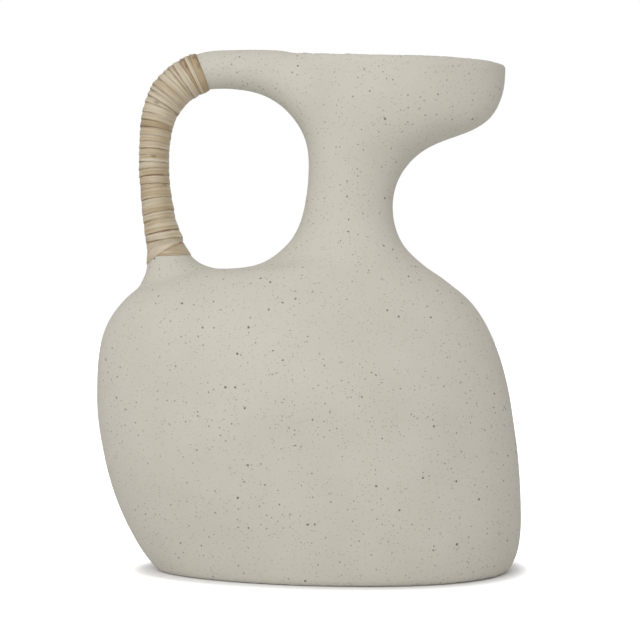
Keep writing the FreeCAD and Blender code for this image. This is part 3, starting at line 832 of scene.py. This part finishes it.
# Just below where the next turn covers this one, a band is darkened: painted shadow of that turn's edge, and
# stain gathered there.
under_width = calc(peel, "MULTIPLY", edge_width, UNDER_LINE_SHARE)
from_next_turn = calc(peel, "DIVIDE", calc(peel, "SUBTRACT", stored("cover"), strip_parts["Y"]), under_width)
under_line = calc(peel, "MULTIPLY", stored("next_dark"), ramped(from_next_turn, *UNDER_LEVELS))
line_break = ramped(streaks(*LINE_BREAKS), *BREAK_LEVELS)
stain_and_shade = calc(peel, "MULTIPLY", calc(peel, "MAXIMUM", edge_line, under_line), line_break)
cane_colour = mixed(peel, stain_and_shade, cane_colour, CANE_STAIN_AND_SHADE)
node_away = calc(peel, "ABSOLUTE", calc(peel, "SUBTRACT", strip_parts["Y"], stored("node_low")))
node_tall = ramped(calc(peel, "DIVIDE", node_away, NODE_TALL), *EDGE_LEVELS)
node_grain = ramped(streaks(*NODE_GRAIN), *NODE_GRAIN_LEVELS)
node_patch = calc(peel, "MULTIPLY", calc(peel, "MULTIPLY", stored("node"), node_tall), node_grain)
cane_colour = mixed(peel, calc(peel, "MULTIPLY", node_patch, NODE_STRENGTH), cane_colour, CANE_STAIN_AND_SHADE)
cane_height = calc(peel, "MULTIPLY_ADD", broad_streak, BROAD_HEIGHT, fine_streak)
cane_bump = put(
    peel, "ShaderNodeBump",
    {"Strength": CANE_BUMP, "Distance": CANE_BUMP_DISTANCE, "Height": cane_height}).outputs[0]
cane_roughness = calc(peel, "MULTIPLY_ADD", fine_streak, *CANE_ROUGHNESS)
cover_with(peel, cane_shader, cane_colour, cane_bump, cane_roughness)
cane_shader.inputs["Specular IOR Level"].default_value = CANE_SHINE


def fill_in(modifier, values):
    # A modifier's inputs are set by the identifiers of their sockets.
    sockets = [item for item in modifier.node_group.interface.items_tree if item.in_out == "INPUT"]
    for socket in sockets:
        if socket.name in values:
            modifier[socket.identifier] = values[socket.name]


cane = bpy.data.objects.new("cane_strip", bpy.data.meshes.new("cane_strip"))
scene.collection.objects.link(cane)
wind = cane.modifiers.new("winding", "NODES")
wind.node_group = winding
fill_in(wind, {
    "Lay": lay, "Section": section_object, "Thickness": CANE_THICKNESS, "Fibre Relief": FIBRE_RELIEF,
    "Edge Wander": EDGE_WANDER, "Finish": peeled_cane})
made_plain(cane)
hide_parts("cane_wrap")
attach(cane, "root")


# Loose fibres: fine splinters that have lifted from the lower edge of the cane where it was split,
# and still hang on it by one end.
FIBRE_LENGTH = 0.0024
FIBRE_RADIUS = 0.00012
FIBRE_SIDES = 4
FIBRE_STEPS = 5
FIBRE_RISE = 0.00035
FIBRE_EDGE = 0.0006
FIBRES_PER_SQUARE_METRE = 14000.0
FIBRE_SEED = 5
FIBRE_BEND_SHARE = 0.5
# The least and most that a fibre turns from the strip's own direction, and its least and most scale.
FIBRE_SWINGS = ((0, -0.25, -0.35), (0, 0.05, 0.10))
FIBRE_SCALES = ((0.4, 0.7, 0.5), (1.2, 1.3, 1.4))
splinters = bpy.data.node_groups.new("loose_fibres", "GeometryNodeTree")
splinters.is_modifier = True
for name, kind in (
        ("Geometry", "Geometry"), ("Strip", "Object"), ("Length", "Float"), ("Radius", "Float"),
        ("Rise", "Float"), ("Edge", "Float"), ("Density", "Float"), ("Seed", "Int"), ("Finish", "Material")):
    splinters.interface.new_socket(name, in_out="INPUT", socket_type="NodeSocket" + kind)
splinters.interface.new_socket("Geometry", in_out="OUTPUT", socket_type="NodeSocketGeometry")
fibre_in = put(splinters, "NodeGroupInput").outputs


def own_vector(name):
    kept = put(splinters, "GeometryNodeInputNamedAttribute", {"Name": name}, data_type="FLOAT_VECTOR")
    return live_socket(kept.outputs, "Attribute")


def between(low, high):
    drawn = put(
        splinters, "FunctionNodeRandomValue", {"Min": low, "Max": high, "Seed": fibre_in["Seed"]},
        data_type="FLOAT_VECTOR")
    return live_socket(drawn.outputs)


strip_shape = put(splinters, "GeometryNodeObjectInfo", {"Object": fibre_in["Strip"]}).outputs["Geometry"]
from_edge = put(splinters, "ShaderNodeSeparateXYZ", {"Vector": own_vector("strip")}).outputs["Y"]
at_edge = put(
    splinters, "FunctionNodeCompare", {0: from_edge, 1: fibre_in["Edge"]}, data_type="FLOAT",
    operation="LESS_THAN").outputs[0]
roots = put(
    splinters, "GeometryNodeDistributePointsOnFaces",
    {"Mesh": strip_shape, "Selection": at_edge, "Density": fibre_in["Density"], "Seed": fibre_in["Seed"]})
outward_turn = put(
    splinters, "FunctionNodeAlignRotationToVector", {"Vector": roots.outputs["Normal"]}, axis="Z").outputs[0]
lengthwise_turn = put(
    splinters, "FunctionNodeAlignRotationToVector", {"Rotation": outward_turn, "Vector": own_vector("along")},
    axis="X", pivot_axis="Z").outputs[0]
swing = put(splinters, "FunctionNodeEulerToRotation", {0: between(*FIBRE_SWINGS)})
fibre_turn = put(
    splinters, "FunctionNodeRotateRotation", {"Rotation": lengthwise_turn, "Rotate By": swing.outputs[0]},
    rotation_space="LOCAL").outputs[0]
half_length = calc(splinters, "MULTIPLY", fibre_in["Length"], FIBRE_BEND_SHARE)
bend = put(splinters, "ShaderNodeCombineXYZ", {"X": half_length}).outputs[0]
tip = put(splinters, "ShaderNodeCombineXYZ", {"X": fibre_in["Length"], "Z": fibre_in["Rise"]}).outputs[0]
fibre_line = put(
    splinters, "GeometryNodeCurveQuadraticBezier",
    {"Resolution": FIBRE_STEPS, "Start": (0, 0, 0), "Middle": bend, "End": tip}).outputs[0]
fibre_ring = put(
    splinters, "GeometryNodeCurvePrimitiveCircle",
    {"Resolution": FIBRE_SIDES, "Radius": fibre_in["Radius"]}).outputs[0]
fibre_body = put(
    splinters, "GeometryNodeCurveToMesh",
    {"Curve": fibre_line, "Profile Curve": fibre_ring, "Fill Caps": True}).outputs[0]
fibres = put(
    splinters, "GeometryNodeInstanceOnPoints",
    {"Points": roots.outputs["Points"], "Instance": fibre_body, "Rotation": fibre_turn,
     "Scale": between(*FIBRE_SCALES)}).outputs[0]
fibres = put(splinters, "GeometryNodeRealizeInstances", {"Geometry": fibres}).outputs[0]
fibres = put(
    splinters, "GeometryNodeSetMaterial", {"Geometry": fibres, "Material": fibre_in["Finish"]}).outputs[0]
put(splinters, "NodeGroupOutput", {"Geometry": fibres})

FIBRE_CREAM = (0.62, 0.57, 0.46, 1)
FIBRE_TONES_PER_METRE = 260.0
FIBRE_BUMP = 0.3
FIBRE_BUMP_DISTANCE = 0.00003
FIBRE_ROUGHNESS = (0.2, 0.5)
bare_fibre, bare, bare_shader = new_finish("bare_fibre")
bare_place = put(bare, "ShaderNodeTexCoord").outputs["Object"]
bare_tone = noise_of(bare, bare_place, FIBRE_TONES_PER_METRE, 2.0)
bare_colour = mixed(bare, bare_tone, FIBRE_CREAM, CANE_TAN)
bare_bump = put(
    bare, "ShaderNodeBump",
    {"Strength": FIBRE_BUMP, "Distance": FIBRE_BUMP_DISTANCE, "Height": bare_tone}).outputs[0]
cover_with(bare, bare_shader, bare_colour, bare_bump, calc(bare, "MULTIPLY_ADD", bare_tone, *FIBRE_ROUGHNESS))

loose = bpy.data.objects.new("loose_fibres", bpy.data.meshes.new("loose_fibres"))
scene.collection.objects.link(loose)
lift_fibres = loose.modifiers.new("splinters", "NODES")
lift_fibres.node_group = splinters
fill_in(lift_fibres, {
    "Strip": cane, "Length": FIBRE_LENGTH, "Radius": FIBRE_RADIUS, "Rise": FIBRE_RISE, "Edge": FIBRE_EDGE,
    "Density": FIBRES_PER_SQUARE_METRE, "Seed": FIBRE_SEED, "Finish": bare_fibre})
made_plain(loose)
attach(loose, "root")
